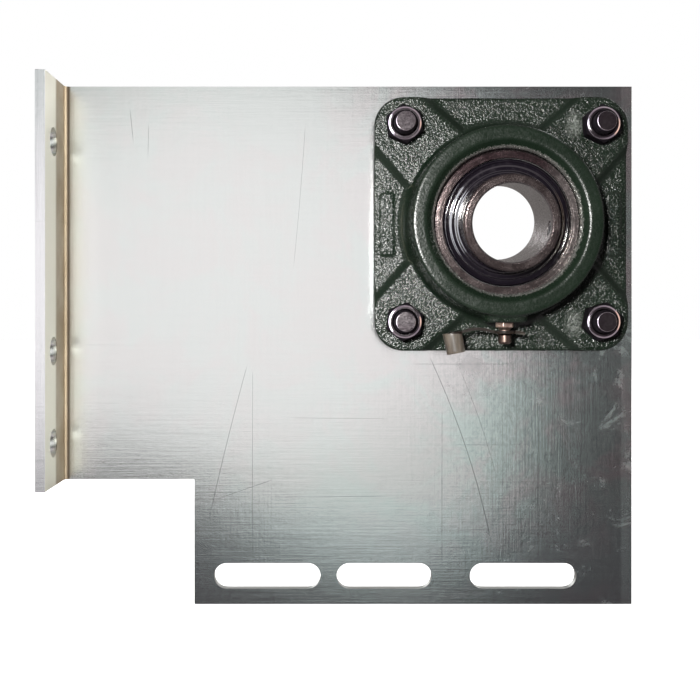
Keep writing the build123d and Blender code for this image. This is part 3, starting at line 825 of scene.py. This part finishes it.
def make_floor():
    """A plain pale floor under the plate's lower edge, which lights nothing."""
    work = bmesh.new()
    bmesh.ops.create_grid(work, x_segments=8, y_segments=8, size=4.0)
    floor = new_piece("floor", work)
    floor.location = (0, 0, PLATE_LOW.z - 0.5 * MM)
    made, tree, shader = new_material("pale_floor")
    wire(tree, shader.inputs["Base Color"], FLOOR_PALE)
    wire(tree, shader.inputs["Roughness"], 0.9)
    wire(tree, shader.inputs["Specular IOR Level"], 0.0)
    wire(tree, shader.inputs["Emission Color"], (1, 1, 1))
    wire(tree, shader.inputs["Emission Strength"], 0.95)
    floor.data.materials.append(made)
    floor.visible_diffuse = False
    floor.visible_glossy = False


def receivers(name, pieces):
    """A collection of the pieces that a lamp is linked to."""
    made = bpy.data.collections.new(name)
    for piece in pieces:
        made.objects.link(piece)
    return made


def area_light(name, where, target, size, watts, colour=(1, 1, 1), lights=None):
    """A soft oval lamp aimed at a point, which lights everything or only some pieces."""
    lamp = bpy.data.lights.new(name, "AREA")
    lamp.shape = "ELLIPSE"
    lamp.size, lamp.size_y = size
    lamp.energy = watts
    lamp.color = colour
    holder = bpy.data.objects.new(name, lamp)
    holder.location = where
    holder.rotation_euler = (Vector(target) - Vector(where)).to_track_quat("-Z", "Y").to_euler()
    holder.visible_camera = False
    if lights is not None:
        holder.light_linking.receiver_collection = lights
    bpy.context.scene.collection.objects.link(holder)
    return holder


def make_light(plate, casting, shiny):
    """The lamps: each kind of surface has its own, because the sheet's glare would burn out the rest.

    A hard flash beside the camera lights all but the sheet, and a near lamp lifts the paint. Three soft
    boxes in front of the sheet make its glare, and a lamp at the side lights its bent flange. A window
    and a wall show in the small bright parts. Two lamps at the back light everything.
    """
    middle = (cad_box[0] + cad_box[1]) / 2
    sheet_only = receivers("sheet_only", [plate])
    all_but_sheet = receivers("all_but_sheet", [plate])
    all_but_sheet.collection_objects[0].light_linking.link_state = "EXCLUDE"
    small_parts = receivers("small_parts", shiny)
    casting_only = receivers("casting_only", [casting])

    flash_white = (1.0, 0.985, 0.96)
    area_light("flash", (-0.140, -0.452, 0.028), middle, (0.06, 0.06), 4.2, flash_white, all_but_sheet)
    area_light("near_lamp", (-0.118, -0.20, -0.004), (-0.05, 0, 0), (0.04, 0.04), 0.42, lights=casting_only)
    for name, x, z, size, turn, watts, colour in (
        ("wide_box", -0.146, 0.000, (0.494, 0.362), 10, 0.402, (1.02, 1.0, 1.01)),
        ("tall_box", -0.127, 0.010, (0.625, 0.362), -56, 0.372, (0.93, 1.0, 0.97)),
        ("edge_box", -0.332, -0.050, (0.070, 0.500), 0, 0.050, (1.0, 1.0, 1.0)),
    ):
        box = area_light(name, (x, PLATE_FRONT - 0.5, z), (x, 0, z), size, watts, colour, sheet_only)
        box.rotation_euler.rotate_axis("Z", radians(turn))
    seat, bend = (0, 0, 0), (-0.19, 0, 0)
    blue, tan, cream = (0.96, 0.98, 1.06), (1.0, 0.62, 0.34), (1.0, 0.985, 0.92)
    area_light("left_window", (-0.80, -0.42, 0.0), seat, (0.80, 1.5), 22.0, blue, small_parts)
    area_light("right_wall", (0.80, -0.36, 0.0), seat, (0.3, 0.8), 0.7, tan, small_parts)
    area_light("side_fill", (0.75, -0.22, 0.06), bend, (0.5, 0.5), 10.2, cream, sheet_only)
    area_light("back_left", (-0.9, 1.1, 0.6), middle, (0.8, 0.8), 16.0)
    area_light("back_right", (0.9, 0.9, 0.9), middle, (0.8, 0.8), 12.0)
    bpy.context.scene.world = room()
    bpy.context.scene.view_settings.view_transform = "Standard"


def room():
    """A room that is dark in front of the sheet, bright round its sides and white to the camera.

    Its stops run from straight behind the sheet, at 0, to straight in front of it, at 1.
    """
    world = bpy.data.worlds.new("room")
    world.use_nodes = True
    tree = world.node_tree
    way = tree.nodes.new("ShaderNodeTexCoord").outputs["Generated"]
    forward = times(tree, along_axes(tree, way)[1], -1.0)
    ramp = put(tree, "ShaderNodeValToRGB", Fac=scaled_plus(tree, forward, 0.5, 0.5))
    stops = [
        (0.00, (0.30, 0.28, 0.27)),
        (0.40, (0.16, 0.15, 0.15)),
        (0.56, (0.14, 0.13, 0.14)),
        (0.66, (0.66, 0.60, 0.62)),
        (0.79, (0.55, 0.49, 0.52)),
        (0.87, (0.048, 0.040, 0.045)),
        (1.00, (0.041, 0.034, 0.037)),
    ]
    while len(ramp.color_ramp.elements) < len(stops):
        ramp.color_ramp.elements.new(0.5)
    for element, (at, colour) in zip(ramp.color_ramp.elements, stops):
        element.position = at
        element.color = (*colour, 1)
    lit = tree.nodes["Background"]
    wire(tree, lit.inputs["Color"], ramp.outputs[0])
    seen = put(tree, "ShaderNodeBackground", Color=(1, 1, 1), Strength=1.0)
    rays = tree.nodes.new("ShaderNodeLightPath")
    both = put(tree, "ShaderNodeMixShader", Fac=rays.outputs["Is Camera Ray"])
    wire(tree, both.inputs[1], lit.outputs[0])
    wire(tree, both.inputs[2], seen.outputs[0])
    wire(tree, tree.nodes["World Output"].inputs["Surface"], both.outputs[0])
    return world


def make_camera():
    """Almost half a metre in front of the plate, level, left of and below the shaft."""
    camera = bpy.data.cameras.new("camera")
    camera.lens = 55.34
    camera.shift_x = 0.0343
    camera.shift_y = -0.0571
    camera.clip_start = 0.01
    holder = bpy.data.objects.new("camera", camera)
    holder.location = (-0.0745, PLATE_FRONT - 0.470, -0.0366)
    holder.rotation_euler = (pi / 2, 0, 0)
    bpy.context.scene.collection.objects.link(holder)
    bpy.context.scene.camera = holder


make_camera()
make_floor()
make_light(*make_pieces())
